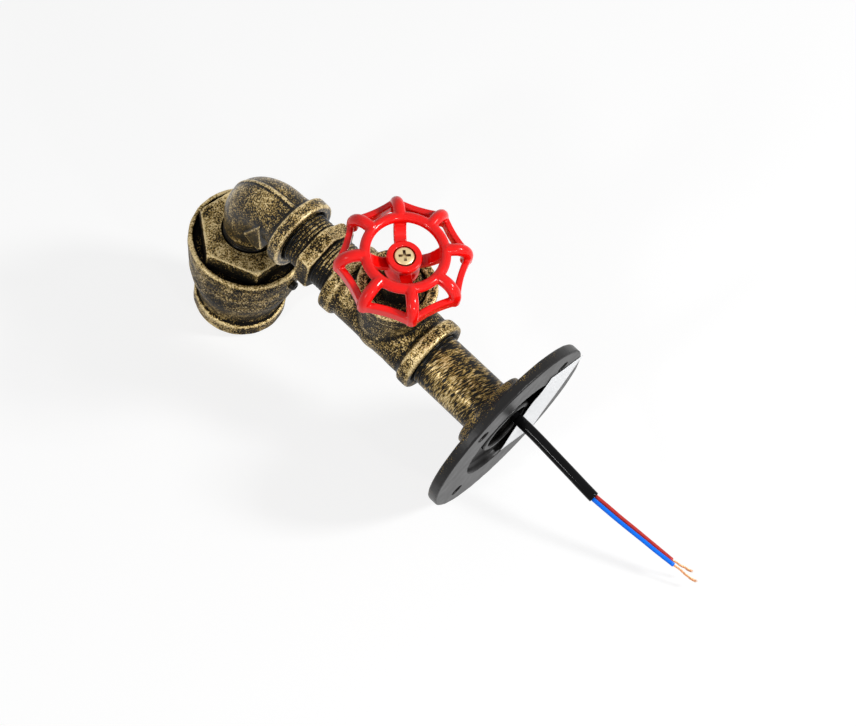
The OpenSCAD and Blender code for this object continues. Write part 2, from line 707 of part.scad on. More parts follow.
module bell() {
    e = cast_edge;
    neck_z = bell_foot_z + bell_bead_h;
    recess_r = bell_r - rim_wall;
    neck_r = bell_mouth_r - bell_neck_in;
    waist_z = bell_top_z - bell_h * 0.38;
    snap_cut = 0.15;
    color("#7a7258") on_lamp() difference() {
        rotate_extrude($fn = 96)
            polygon(concat(
                [[recess_r, bell_top_z]],
                arc([bell_r - e, bell_top_z - e], e, 90, 0),
                [[bell_r, bell_top_z - 5.6], [bell_r - 0.5, waist_z + 12], [bell_r - 1, waist_z + 5]],
                ease(bell_r - 1.6, waist_z, neck_r, neck_z + 2.2, 10),
                [[neck_r, neck_z]],
                arc([bell_mouth_r - 1, neck_z - 1], 1, 80, 0),
                arc([bell_mouth_r - 1.2, bell_foot_z + 1.2], 1.2, 0, -90),
                [[bell_bore_r + 0.5, bell_foot_z], [bell_bore_r, bell_foot_z + 0.5],
                 [bell_bore_r, snap_z - snap_cut], [snap_out_r + 0.1, snap_z - snap_cut],
                 [snap_out_r + 0.1, snap_z + snap_t + snap_cut],
                 [bell_bore_r, snap_z + snap_t + snap_cut],
                 [bell_bore_r, shoulder_foot_z], [bell_bore_r - 3, shoulder_foot_z],
                 [bell_bore_r - 3, shoulder_top_z], [bushing_female_r, shoulder_top_z],
                 [bushing_female_r, bushing_foot_z], [recess_r, bushing_foot_z]]));
        rotate(lock_screw_turn) translate([bushing_male_r - 1, 0, lock_screw_z])
            rotate([0, 90, 0]) cylinder(d = lock_screw_d - 0.6 + 2 * thread_gap, h = bell_r);
        rotate(lock_screw_turn) translate([lock_head_r - thread_gap, 0, lock_screw_z])
            rotate([0, 90, 0]) cylinder(d = lock_screw_d + 2 * thread_gap, h = bell_r);
    }
}

module lock_screw() {
    shank_d = lock_screw_d - 0.6;
    head_r = lock_head_r;
    color("#1f1e1d") on_lamp() rotate(lock_screw_turn)
        translate([0, 0, lock_screw_z]) rotate([0, 90, 0]) difference() {
            union() {
                translate([0, 0, bushing_female_r + 0.05])
                    cylinder(d = shank_d, h = head_r - bushing_female_r);
                translate([0, 0, head_r]) cylinder(d = lock_screw_d, h = lock_screw_out - 0.6);
                translate([0, 0, head_r + lock_screw_out - 0.6])
                    cylinder(d1 = lock_screw_d, d2 = lock_screw_d - 1.2, h = 0.6);
            }
            translate([0, 0, head_r + lock_screw_out - 2]) cylinder(d = 2.6, h = 3, $fn = 6);
        }
}

module lamp_holder() {
    e = 0.8;
    color("#e6e1d6") on_lamp() difference() {
        rotate_extrude()
            polygon(concat(
                [[0, pocket_floor_z], [pocket_r, pocket_floor_z], [pocket_r, holder_top_z],
                 [holder_r - e, holder_top_z], [holder_r, holder_top_z - e]],
                arc([holder_r - 1.2, holder_foot_z + 1.2], 1.2, 0, -90),
                [[shell_out_r - 0.2, holder_foot_z], [shell_out_r - 0.2, holder_foot_z + 1.6],
                 [shell_out_r + ledge_gap, holder_foot_z + 1.6],
                 [shell_out_r + ledge_gap, shell_top_z + ledge_gap],
                 [shell_plate_r + 0.3, shell_top_z + ledge_gap], [shell_plate_r + 0.3, socket_floor_z],
                 [0, socket_floor_z]]));
        for (side = [-1, 1])
            translate([side * terminal_x, 0, socket_floor_z - 1]) cylinder(d = 3.2, h = 12);
    }
}

module screw_shell() {
    foot_z = holder_foot_z + 1.7;
    color("#c9a24e") on_lamp() rotate_extrude()
        polygon([[shell_in_r, foot_z], [shell_out_r, foot_z], [shell_out_r, shell_top_z],
                 [shell_plate_r, shell_top_z], [shell_plate_r, shell_top_z - shell_t],
                 [shell_in_r, shell_top_z - shell_t]]);
}

// leaf that presses on the lamp's foot, hinged where it is folded
module centre_contact() {
    root = contact_pivot;
    z = socket_floor_z - contact_drop;
    color("#d4b05c") on_lamp() union() {
        translate([-contact_w / 2, root, z - contact_t])
            cube([contact_w, contact_reach - root, contact_t]);
        translate([-contact_w / 2, root, z - contact_t])
            cube([contact_w, contact_t, contact_drop + contact_t - contact_foot_gap]);
        translate([0, 0, z - contact_t - 0.7]) cylinder(d1 = 3.4, d2 = 5, h = 0.8);
    }
}

module terminals() {
    color("#c9a24e") on_lamp() for (side = [-1, 1]) difference() {
        union() {
            translate([side * terminal_x - terminal_size[0] / 2, -terminal_size[1] / 2,
                       pocket_floor_z + terminal_seat])
                cube(terminal_size);
            translate([side * terminal_x, 0, socket_floor_z - 0.4])
                cylinder(d = 3, h = pocket_floor_z - socket_floor_z + 1);
        }
        translate([side * terminal_x, 1.4, pocket_floor_z + 1.2])
            cylinder(d = 2.6, h = terminal_size[2]);
        translate([side * terminal_x, -1.6, pocket_floor_z + 1.2])
            cylinder(d = core_d + 0.2, h = terminal_size[2]);
    }
}

module terminal_screws() {
    color("#d9d4c4") on_lamp() for (side = [-1, 1])
        translate([side * terminal_x, 1.4, pocket_floor_z + 1.3]) difference() {
            union() {
                cylinder(d = 2.5, h = 4.2);
                translate([0, 0, terminal_size[2] - 1.2]) cylinder(d = 3.6, h = 1);
            }
            translate([-2, -0.3, terminal_size[2] - 0.8]) cube([4, 0.6, 2]);
        }
}

module snap_ring() {
    color("#57534b") on_lamp() translate([0, 0, snap_z]) difference() {
        cylinder(r = snap_out_r, h = snap_t);
        translate([0, 0, -1]) cylinder(r = snap_in_r, h = snap_t + 2);
        rotate(200) translate([0, -3, -1]) cube([snap_out_r + 1, 6, snap_t + 2]);
    }
}

module pipe_cord() {
    color("#17171a") tube_along(pipe_route, sheath_d, sheath_sides);
}
module supply_cord() {
    color("#17171a") tube_along(supply_route, sheath_d, sheath_sides);
}
module head_cord() {
    color("#17171a") tube_along(head_route, sheath_d, sheath_sides, [1, 0, 0]);
}
module head_leads() {
    for (side = [-1, 1])
        color(side < 0 ? "#c8402f" : "#1b62c8")
            tube_along([
                [side * core_d / 1.9, -lamp_a, -55], [side * 2.4, -lamp_a - 0.3, -57.5],
                [side * 5, -lamp_a - 0.9, -59.4], [side * 7.6, -lamp_a - 1.4, -61],
                [side * terminal_x, -lamp_a - 1.6, pocket_floor_z + 1.4]
            ], core_d, core_sides, [0, 1, 0]);
}
module red_core() {
    color("#c8402f") tube_along(red_route, core_d, core_sides);
}
module blue_core() {
    color("#1b62c8") tube_along(blue_route, core_d, core_sides);
}
module copper_strands() {
    color("#c98a5c") {
        tube_along(red_strand_route, strand_d, core_sides);
        tube_along(blue_strand_route, strand_d, core_sides);
    }
}

wall_flange();
wall_nipple();
tee();
branch_plug();
stem_packing();
gland_nut();
valve_stem();
handwheel();
wheel_screw();
hex_nipple();
street_elbow();
hex_bushing();
bell();
lock_screw();
lamp_holder();
screw_shell();
centre_contact();
terminals();
terminal_screws();
snap_ring();
pipe_cord();
supply_cord();
head_cord();
head_leads();
red_core();
blue_core();
copper_strands();
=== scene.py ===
import math

import bmesh
import bpy
import numpy as np
from mathutils import Matrix, Vector


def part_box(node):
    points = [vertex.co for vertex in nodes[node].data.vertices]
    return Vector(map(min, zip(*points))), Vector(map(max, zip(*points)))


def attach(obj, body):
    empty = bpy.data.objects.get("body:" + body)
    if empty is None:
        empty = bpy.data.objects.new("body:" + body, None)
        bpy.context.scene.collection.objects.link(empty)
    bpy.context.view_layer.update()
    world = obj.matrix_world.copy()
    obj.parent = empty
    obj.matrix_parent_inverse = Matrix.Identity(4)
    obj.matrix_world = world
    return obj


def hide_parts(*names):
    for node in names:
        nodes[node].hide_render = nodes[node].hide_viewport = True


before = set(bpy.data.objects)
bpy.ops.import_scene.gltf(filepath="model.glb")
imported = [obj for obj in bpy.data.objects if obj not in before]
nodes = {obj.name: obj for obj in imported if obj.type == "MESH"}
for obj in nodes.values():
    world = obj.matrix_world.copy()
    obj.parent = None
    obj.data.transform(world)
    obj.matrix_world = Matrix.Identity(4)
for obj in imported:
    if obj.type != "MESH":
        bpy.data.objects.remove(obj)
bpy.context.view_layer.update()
print("frame loaded:", len(nodes), "nodes")

# camera
view = {
    "place": (0.3533, 0.11986, 0.67671),
    "focalPx": 1698.7,
    "widthPx": 856,
    "sensorMm": 36.0,
    "turn": (1.019097, 2.543466, -0.537979),   # rotation vector, world to a lens looking along +Z with y down
    "nearAndFar": (0.05, 20.0),
}


def rotationOf(turn):
    # Rodrigues: the matrix that turns by |turn| radians about the direction of turn
    angle = math.sqrt(sum(v * v for v in turn))
    return Matrix.Rotation(angle, 3, Vector(turn))


def makeCamera():
    # pinhole camera: its lens from the focal length in pixels, its axes from the turn's rows
    rows = rotationOf(view["turn"])
    data = bpy.data.cameras.new("camera")
    data.sensor_width = view["sensorMm"]
    data.lens = view["focalPx"] * view["sensorMm"] / view["widthPx"]
    data.clip_start, data.clip_end = view["nearAndFar"]
    camera = bpy.data.objects.new("camera", data)
    bpy.context.scene.collection.objects.link(camera)
    axes = Matrix((rows[0], -rows[1], -rows[2])).transposed()
    camera.matrix_world = Matrix.Translation(view["place"]) @ axes.to_4x4()
    bpy.context.scene.camera = camera


makeCamera()
print("camera placed")


# mesh helpers
def gridFaces(rows, columns, closed=True):
    # quads of a grid of rows x columns points; closed joins the last column to the first
    i = np.arange(rows - 1)[:, None]
    j = np.arange(columns if closed else columns - 1)[None, :]
    k = (j + 1) % columns
    here, after = i * columns, (i + 1) * columns
    return np.stack([here + j, here + k, after + k, after + j], axis=-1).reshape(-1, 4)


def makeObject(name, points, faces, smooth=True):
    mesh = bpy.data.meshes.new(name)
    vertices = np.asarray(points, float).reshape(-1, 3).tolist()
    mesh.from_pydata(vertices, [], [list(map(int, face)) for face in faces])
    mesh.update()
    mesh.polygons.foreach_set("use_smooth", np.full(len(mesh.polygons), smooth))
    piece = bpy.data.objects.new(name, mesh)
    bpy.context.scene.collection.objects.link(piece)
    return piece


def inMetres(route):
    # from millimetres
    return np.asarray(route, float) / 1000


def smoothPath(route, count, perSpan=24):
    # cubic through the route's points: between b and c it is half of
    # 2b + (c - a) t + (2a - 5b + 4c - d) t^2 + (3b - a - 3c + d) t^3, read at count evenly spaced places
    p = np.asarray(route, float)
    ends = np.vstack([2 * p[0] - p[1], p, 2 * p[-1] - p[-2]])
    t = np.linspace(0, 1, perSpan, endpoint=False)[:, None]
    spans = []
    for a, b, c, d in zip(ends[:-3], ends[1:-2], ends[2:-1], ends[3:]):
        bend = (2 * a - 5 * b + 4 * c - d) * t**2
        twist = (3 * b - a - 3 * c + d) * t**3
        spans.append(0.5 * (2 * b + (c - a) * t + bend + twist))
    dense = np.vstack(spans + [p[-1:]])
    run = np.r_[0, np.cumsum(np.linalg.norm(np.diff(dense, axis=0), axis=1))]
    places = np.linspace(0, run[-1], count)
    return np.stack([np.interp(places, run, dense[:, k]) for k in range(3)], axis=1), run[-1]


def carriedAxes(path, across=(0.3, 0.0, 1.0)):
    # directions along the path and two square to it, the first of them kept square to across
    along = np.gradient(path, axis=0)
    along /= np.linalg.norm(along, axis=1)[:, None]
    side = np.cross(along, np.asarray(across, float))
    side /= np.linalg.norm(side, axis=1)[:, None]
    return along, side, np.cross(side, along)


def ringsAbout(side, up, sides):
    # unit circle cos(angle) * side + sin(angle) * up at each place of a path
    angle = np.linspace(0, 2 * np.pi, sides, endpoint=False)
    return np.cos(angle)[None, :, None] * side[:, None, :] + np.sin(angle)[None, :, None] * up[:, None, :]


def tubeAlong(name, path, radius, sides, eased=0.12):
    # circle of the given radius carried along the path, its two ends closed by discs;
    # their edges are eased by a share of the radius
    along, side, up = carriedAxes(path)
    ring = ringsAbout(side, up, sides)
    inset = radius * eased
    body = path[:, None, :] + ring * radius
    first = path[0] + ring[:1] * (radius - inset)
    last = path[-1] + ring[-1:] * (radius - inset)
    body[0] += along[0] * inset
    body[-1] -= along[-1] * inset
    points = np.vstack([np.concatenate([first, body, last]).reshape(-1, 3), path[:1], path[-1:]])
    rows = len(path) + 2
    n = len(points)
    k = np.arange(sides)
    lastRow = (rows - 1) * sides
    faces = gridFaces(rows, sides).tolist()
    faces += np.stack([np.full(sides, n - 2), (k + 1) % sides, k], axis=1).tolist()
    faces += np.stack([np.full(sides, n - 1), lastRow + k, lastRow + (k + 1) % sides], axis=1).tolist()
    return makeObject(name, points, faces)


def closedUp(piece, mergeWithin=1e-7):
    # doubled points merged, faces turned outwards
    work = bmesh.new()
    work.from_mesh(piece.data)
    bmesh.ops.remove_doubles(work, verts=work.verts, dist=mergeWithin)
    bmesh.ops.recalc_face_normals(work, faces=work.faces)
    work.to_mesh(piece.data)
    work.free()
    return piece


def latticeNeighbours(mesh):
    # both ends of every edge, and how many edges meet at each point
    edges = np.zeros(len(mesh.edges) * 2, dtype=np.int32)
    mesh.edges.foreach_get("vertices", edges)
    edges = edges.reshape(-1, 2)
    a = np.r_[edges[:, 0], edges[:, 1]]
    b = np.r_[edges[:, 1], edges[:, 0]]
    count = np.bincount(a, minlength=len(mesh.vertices)).astype(float)
    return a, b, np.maximum(count, 1)


def averaged(points, ring):
    # each point's neighbours, averaged
    a, b, count = ring
    sums = [np.bincount(a, weights=points[b, k], minlength=len(points)) for k in range(points.shape[1])]
    return np.stack(sums, axis=1) / count[:, None]


def relaxed(points, ring, steps, shrink=0.5, swell=-0.53):
    # Taubin smoothing: a step towards the neighbours' mean, then a slightly longer one away
    for _ in range(steps):
        points = points + shrink * (averaged(points, ring) - points)
        points = points + swell * (averaged(points, ring) - points)
    return points


sandCasting = {
    "lumpSize": 0.007,
    "waves": 12,
    "waveSizes": (0.6, 1.6),    # smallest and largest, as shares of lumpSize
    "waveShare": 3.5,           # what the sum of the waves is divided by
    "firstSeed": 20,
    "merge": 1e-6,              # the solid's doubled points lie within this
    "softening": 4,             # averagings that the skin is compared with, to find its raised edges
    "raisedBy": 0.00009,        # height over the softened skin that counts as fully raised
}


def castLumps(points, height, seed):
    # sum of plane waves of random direction, a slow unevenness as in a sand casting
    count = sandCasting["waves"]
    random = np.random.default_rng(seed)
    directions = random.normal(size=(count, 3))
    directions /= np.linalg.norm(directions, axis=1)[:, None]
    waves = 2 * np.pi / (sandCasting["lumpSize"] * random.uniform(*sandCasting["waveSizes"], count))
    phases = random.uniform(0, 2 * np.pi, count)
    sines = np.sin(points @ (directions * waves[:, None]).T + phases)
    return height * sines.sum(1) / sandCasting["waveShare"]


def readVectors(mesh, field):
    # one row of x, y, z for each vertex
    values = np.zeros(len(mesh.vertices) * 3)
    mesh.vertices.foreach_get(field, values)
    return values.reshape(-1, 3)


def movePoints(mesh, points):
    mesh.vertices.foreach_set("co", points.ravel())
    mesh.update()


def castCopy(node, name, voxel, steps, lumps, seed, addition=None):
    # the node's solid as one skin of small squares, its edges eased and its inner corners filled, then moved
    # along its normals by the lumps; the attribute raised is above 0 on edges and below 0 in corners
    mesh = nodes[node].data.copy()
    work = bmesh.new()
    work.from_mesh(mesh)
    bmesh.ops.remove_doubles(work, verts=work.verts, dist=sandCasting["merge"])
    if addition:
        addition(work)
    work.to_mesh(mesh)
    work.free()
    piece = bpy.data.objects.new(name, mesh)
    bpy.context.scene.collection.objects.link(piece)
    skin = piece.modifiers.new("skin", "REMESH")
    skin.mode = "VOXEL"
    skin.voxel_size = voxel
    remeshed = piece.evaluated_get(bpy.context.evaluated_depsgraph_get())
    done = bpy.data.meshes.new_from_object(remeshed)
    piece.modifiers.clear()
    piece.data = done
    piece.data.materials.clear()
    ring = latticeNeighbours(done)
    points = relaxed(readVectors(done, "co"), ring, steps)
    movePoints(done, points)
    normals = readVectors(done, "normal")
    soft = points
    for _ in range(sandCasting["softening"]):
        soft = averaged(soft, ring)
    raised = averaged(((points - soft) * normals).sum(1)[:, None], ring)[:, 0]
    if lumps:
        points = points + normals * castLumps(points, lumps, seed)[:, None]
    done.polygons.foreach_set("use_smooth", np.ones(len(done.polygons), bool))
    layer = done.attributes.new("raised", "FLOAT", "POINT")
    layer.data.foreach_set("value", np.clip(raised / sandCasting["raisedBy"], -1, 1).astype(np.float32))
    movePoints(done, points)
    print(name, len(done.polygons), "faces")
    return piece


# shader helpers
class Value:
    # one socket of a shader; the operators add Math nodes
    def __init__(self, shader, socket):
        self.shader, self.socket = shader, socket

    def math(self, operation, first, second):
        return self.shader.node("ShaderNodeMath", {"operation": operation}, {0: first, 1: second})

    def __add__(self, other):
        return self.math("ADD", self, other)

    def __radd__(self, other):
        return self.math("ADD", other, self)

    def __sub__(self, other):
        return self.math("SUBTRACT", self, other)

    def __rsub__(self, other):
        return self.math("SUBTRACT", other, self)

    def __mul__(self, other):
        return self.math("MULTIPLY", self, other)

    def __rmul__(self, other):
        return self.math("MULTIPLY", other, self)

    def __pow__(self, other):
        return self.math("POWER", self, other)

    def __rpow__(self, other):
        return self.math("POWER", other, self)

    def larger(self, other):
        return self.math("MAXIMUM", self, other)

    def between(self, low, high):
        # 0 below low, 1 above high, a smooth step between
        return self.shader.node("ShaderNodeMapRange", {"interpolation_type": "SMOOTHSTEP"},
                                {"Value": self, "From Min": low, "From Max": high})


class Shader:
    # a material's nodes
    def __init__(self, name):
        self.material = bpy.data.materials.new(name)
        self.material.use_nodes = True
        self.tree = self.material.node_tree
        self.surface = self.tree.nodes["Principled BSDF"]

    @classmethod
    def around(cls, world):
        # the same helpers on a world's nodes
        shader = cls.__new__(cls)
        shader.tree = world.node_tree
        return shader

    def put(self, socket, value):
        # links a Value, or sets the socket's own colour or number
        if isinstance(value, Value):
            self.tree.links.new(value.socket, socket)
        elif isinstance(value, (tuple, list)) and socket.type == "RGBA":
            socket.default_value = (*value[:3], 1.0)
        else:
            socket.default_value = value

    def node(self, kind, settings=None, values=None, output=0):
        # any node: its type, its settings, then the values or links of its sockets
        node = self.tree.nodes.new(kind)
        for key, setting in (settings or {}).items():
            setattr(node, key, setting)
        for key, value in (values or {}).items():
            self.put(node.inputs[key], value)
        return Value(self, node.outputs[output])

    def place(self, scale=(1, 1, 1), turn=(0, 0, 0)):
        # object coordinates, turned first and then scaled
        coordinates = self.node("ShaderNodeTexCoord", output="Object")
        turned = self.node("ShaderNodeMapping", None, {"Vector": coordinates, "Rotation": turn})
        return self.node("ShaderNodeMapping", None, {"Vector": turned, "Scale": scale})

    def axis(self, where, number):
        # x, y or z of a vector, by its number
        return self.node("ShaderNodeSeparateXYZ", None, {"Vector": where}, output=number)

    def noise(self, where, size, detail=3.0, roughness=0.55, distortion=0.0):
        # size is the grain's width in metres
        return self.node("ShaderNodeTexNoise", None, {
            "Vector": where, "Scale": 1.0 / size, "Detail": detail,
            "Roughness": roughness, "Distortion": distortion,
        })

    def swing(self, where, size, detail=3.0, roughness=0.55, distortion=0.0):
        # the same noise, about 0
        return self.noise(where, size, detail, roughness, distortion) - 0.5

    def exposed(self, reach, samples=6):
        # ambient occlusion: 1 on open surfaces, towards 0 in crevices narrower than reach; the finishes use
        # it to paint shade into crevices
        return self.node("ShaderNodeAmbientOcclusion", {"samples": samples}, {"Distance": reach}, output="AO")

    def attribute(self, name):
        return self.node("ShaderNodeAttribute", {"attribute_name": name}, output="Fac")

    def blend(self, factor, first, second):
        # a Mix node has its two colours at sockets 6 and 7 and their mix at output 2
        return self.node("ShaderNodeMix", {"data_type": "RGBA"}, {0: factor, 6: first, 7: second}, output=2)

    def bump(self, height, depth, strength):
        return self.node("ShaderNodeBump", None, {"Height": height, "Distance": depth, "Strength": strength})

    def finish(self, **values):
        # sets or links the surface's sockets; an underscore stands for a space
        for key, value in values.items():
            self.put(self.surface.inputs[key.replace("_", " ")], value)
        return self.material


def dress(piece, material):
    piece.data.materials.clear()
    piece.data.materials.append(material)


def unevenFinish(name, look):
    # deep to pale colour and rising roughness by a slow noise, a fine noise as relief;
    # patches and grain are a noise's width and detail, relief is a bump's depth and strength
    s = Shader(name)
    where = s.place()
    slow = s.noise(where, *look["patches"])
    return s.finish(Base_Color=s.blend(slow, look["deep"], look["pale"]),
                    Roughness=look["roughness"] + slow * look["uneven"],
                    Normal=s.bump(s.noise(where, *look["grain"]), *look["relief"]), **look["fixed"])


def settle(piece, body, node):
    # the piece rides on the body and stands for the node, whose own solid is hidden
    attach(piece, body)
    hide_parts(node)


# supply cord
cord = {
    # radii
    "sheath": 0.00265,
    "core": 0.001,
    "wire": 0.00017,
    "sheathSides": 32,
    "coreSides": 20,
    "wireSides": 6,
    "places": 30,           # rings along the sheath and along each core
    "wirePlaces": 40,
    "wiresInCore": 9,
    "wiresInside": 2,
    "insideAt": 0.9,        # distance of a wire from its bundle's middle, in wire radii
    "outsideAt": 2.05,
    "turns": 1.1,           # how far the wires wind round each other
    "opening": (0.2, 1.6),  # least and most that a wire leans out towards its cut end
    "cutBack": 5,           # a wire ends fewer places than this before the route does
    "seed": 11,
    # routes out of the flange's back, mm
    "sheathRoute": [(-6.1, -1, 1.6), (-6.1, 7, 1.4), (-5.9, 14, 1.2), (-5.6, 21, 0.9), (-5.3, 28, 0.6),
                    (-5, 35, 0.3), (-4.7, 42, -0.1), (-4.5, 49, -0.5)],
    "redRoute": [(-5.6, 49, -0.7), (-6.2, 56.5, -0.9), (-6.9, 64, -1.5), (-7.7, 71, -1.9), (-8.5, 78, -2.5),
                 (-9.3, 85, -3.1), (-10.2, 92.8, -3.8)],
    "blueRoute": [(-3.4, 49, -0.3), (-3.9, 56.5, -0.5), (-4.6, 64, -0.9), (-5.4, 71, -1.3), (-6.3, 78, -1.8),
                  (-7.1, 85, -2.3), (-8.1, 92, -2.8), (-8.5, 94.8, -3.1)],
    "redStrands": [(-10.2, 92.8, -3.8), (-11, 95, -4), (-11.3, 97, -4.1), (-12.2, 99, -4.4),
                   (-12.7, 101, -4.6), (-13.5, 102.8, -4.9)],
    "blueStrands": [(-8.5, 94.8, -3.1), (-9.1, 97.3, -3.3), (-9.3, 99.6, -3.5), (-9.5, 102, -3.7),
                    (-9.9, 104.2, -3.9), (-10.4, 106, -4.1), (-11, 107.2, -4.2)],
}
sheathLook = {
    "deep": (0.003, 0.003, 0.003),
    "pale": (0.006, 0.006, 0.007),
    "patches": (0.006, 2),
    "grain": (0.0006, 2),
    "relief": (0.00002, 0.5),
    "roughness": 0.05,
    "uneven": 0.06,
    "fixed": {"Specular_IOR_Level": 0.07},
}
coreLook = {
    "patches": (0.003, 2),
    "grain": (0.0005, 2),
    "relief": (0.00002, 0.5),
    "roughness": 0.26,
    "uneven": 0.12,
    "fixed": {"Specular_IOR_Level": 0.16},
}
redCore = {"deep": (0.46, 0.028, 0.022), "pale": (0.62, 0.05, 0.04)}
blueCore = {"deep": (0.002, 0.15, 0.86), "pale": (0.004, 0.20, 0.95)}
headLead = {"deep": (0.46, 0.03, 0.02), "pale": (0.6, 0.05, 0.04)}
copperLook = {
    "deep": (0.62, 0.27, 0.13),
    "pale": (0.86, 0.52, 0.30),
    "patches": (0.0012, 3),
    "grain": (0.0002, 2),
    "relief": (0.00002, 0.5),
    "roughness": 0.30,
    "uneven": 0.2,
    "fixed": {"Metallic": 0.85},
}
cordFinishes = {
    "red": unevenFinish("redInsulation", coreLook | redCore),
    "blue": unevenFinish("blueInsulation", coreLook | blueCore),
    "lead": unevenFinish("leadInsulation", coreLook | headLead),
    "copper": unevenFinish("bareCopper", copperLook),
    "sheath": unevenFinish("blackSheath", sheathLook),
}


def strandBundle(name, route):
    # fine wires wound round the route, their lay opening towards the cut end: at t along it a wire is
    # insideAt or outsideAt * wire * (1 + t^2 * opening / 2) off the route, turned by its share + turns * t
    path, _ = smoothPath(inMetres(route), cord["wirePlaces"])
    _, side, up = carriedAxes(path)
    t = np.linspace(0, 1, len(path))
    random = np.random.default_rng(cord["seed"])
    sides = cord["wireSides"]
    ring = ringsAbout(side, up, sides) * cord["wire"]
    inside = cord["wiresInside"]
    outside = cord["wiresInCore"] - inside
    wires = [(cord["insideAt"], k / inside) for k in range(inside)]
    wires += [(cord["outsideAt"], k / outside) for k in range(outside)]
    points, faces, start = [], [], 0
    for off, share in wires:
        spread = cord["wire"] * off * (1 + 0.5 * t**2 * random.uniform(*cord["opening"]))
        turn = 2 * np.pi * share + 2 * np.pi * cord["turns"] * t
        centre = path + spread[:, None] * (np.cos(turn)[:, None] * side + np.sin(turn)[:, None] * up)
        rows = len(path) - int(random.integers(0, cord["cutBack"]))
        points.append((centre[:rows, None] + ring[:rows]).reshape(-1, 3))
        firstRing = list(range(start, start + sides))
        lastRing = [corner + (rows - 1) * sides for corner in firstRing]
        faces += (gridFaces(rows, sides) + start).tolist() + [firstRing[::-1], lastRing]
        start += rows * sides
    return makeObject(name, np.vstack(points), faces)


def makeCords():
    # the sheath, the two cores that leave it and the strands that leave each core
    sheathPath, sheathLength = smoothPath(inMetres(cord["sheathRoute"]), cord["places"])
    sheath = tubeAlong("cord_sheath", sheathPath, cord["sheath"], cord["sheathSides"])
    dress(sheath, cordFinishes["sheath"])
    settle(sheath, "base", "supply_cord")
    parts = []
    for colour in ("red", "blue"):
        path, length = smoothPath(inMetres(cord[f"{colour}Route"]), cord["places"])
        core = tubeAlong(f"{colour}_core_skin", path, cord["core"], cord["coreSides"])
        dress(core, cordFinishes[colour])
        settle(core, "base", f"{colour}_core")
        wires = strandBundle(f"{colour}_core_strands", cord[f"{colour}Strands"])
        dress(wires, cordFinishes["copper"])
        settle(wires, "base", "copper_strands")
        parts += [core, wires]


makeCords()
print("cords made")


# metal finishes
gilt = {
    "dark": (0.0060, 0.0055, 0.0048),
    "brown": (0.042, 0.030, 0.011),
    "gold": (0.40, 0.262, 0.075),
    "pale": (0.86, 0.68, 0.36),
    # levels between which each colour takes over from the one before
    "brownAt": (0.44, 0.56),
    "goldAt": (0.54, 0.66),
    "paleAt": (0.69, 0.86),
    "metallic": 0.35,
    # widths of the noises, metres
    "grain": 0.00068,
    "clumps": 0.00204,
    "smears": 0.005,
    "blotches": 0.017,
    # how much each of them counts
    "byGrain": 1.7,
    "byClumps": 0.50,
    "bySmears": 0.65,
    "byBlotches": 0.70,
    # this weight, the reach and the middle below paint shade into crevices: gold is taken away where ambient
    # occlusion is low
    "byCreviceShade": 0.5,
    "shadeReach": 0.007,
    "shadeNeutral": 0.9,      # ambient occlusion at which the painted crevice shade neither adds gold nor takes it away
    "roughness": 0.42,
    "goldSmoother": 0.14,
    "smearRougher": 0.2,
    "relief": (0.00030, 0.9),
    "coatRoughness": 0.28,
    "coatIor": 1.3,
}
giltCoats = {
    # amount of gold, gloss, clear coat, above (how far up a face looks where the gold takes hold and where it
    # is full, then what it adds:
    # partly dry brushing from above, partly a painted top light) and edge (what a fully raised edge adds as
    # wear, and what a fully sunk corner takes away as a painted shade)
    "giltCasting": {"amount": 0.39, "gloss": 0.07, "coat": 0.05, "above": (-0.3, 0.8, 0.12), "edge": 0.2},
    "giltHex": {"amount": 0.34, "gloss": 0.07, "coat": 0.0, "above": (0.45, 0.95, 0.25), "edge": 0.30},
    "giltBushing": {"amount": 0.41, "gloss": 0.07, "coat": 0.0, "above": (0.45, 0.95, 0.25), "edge": 0.30},
    "giltBell": {"amount": 0.41, "gloss": 0.03, "coat": 0.0, "above": (-0.3, 0.8, 0.12), "edge": 0.28},
    "giltElbow": {"amount": 0.375, "gloss": 0.08, "coat": 0.55, "above": (-0.3, 0.8, 0.12), "edge": 0.36},
}


def giltLayers(s, level):
    # black, then brown haze, then gold, then its brightest grains as the level rises
    gold = level.between(*gilt["goldAt"])
    colour = s.blend(level.between(*gilt["brownAt"]), gilt["dark"], gilt["brown"])
    colour = s.blend(gold, colour, gilt["gold"])
    return s.blend(level.between(*gilt["paleAt"]), colour, gilt["pale"]), gold


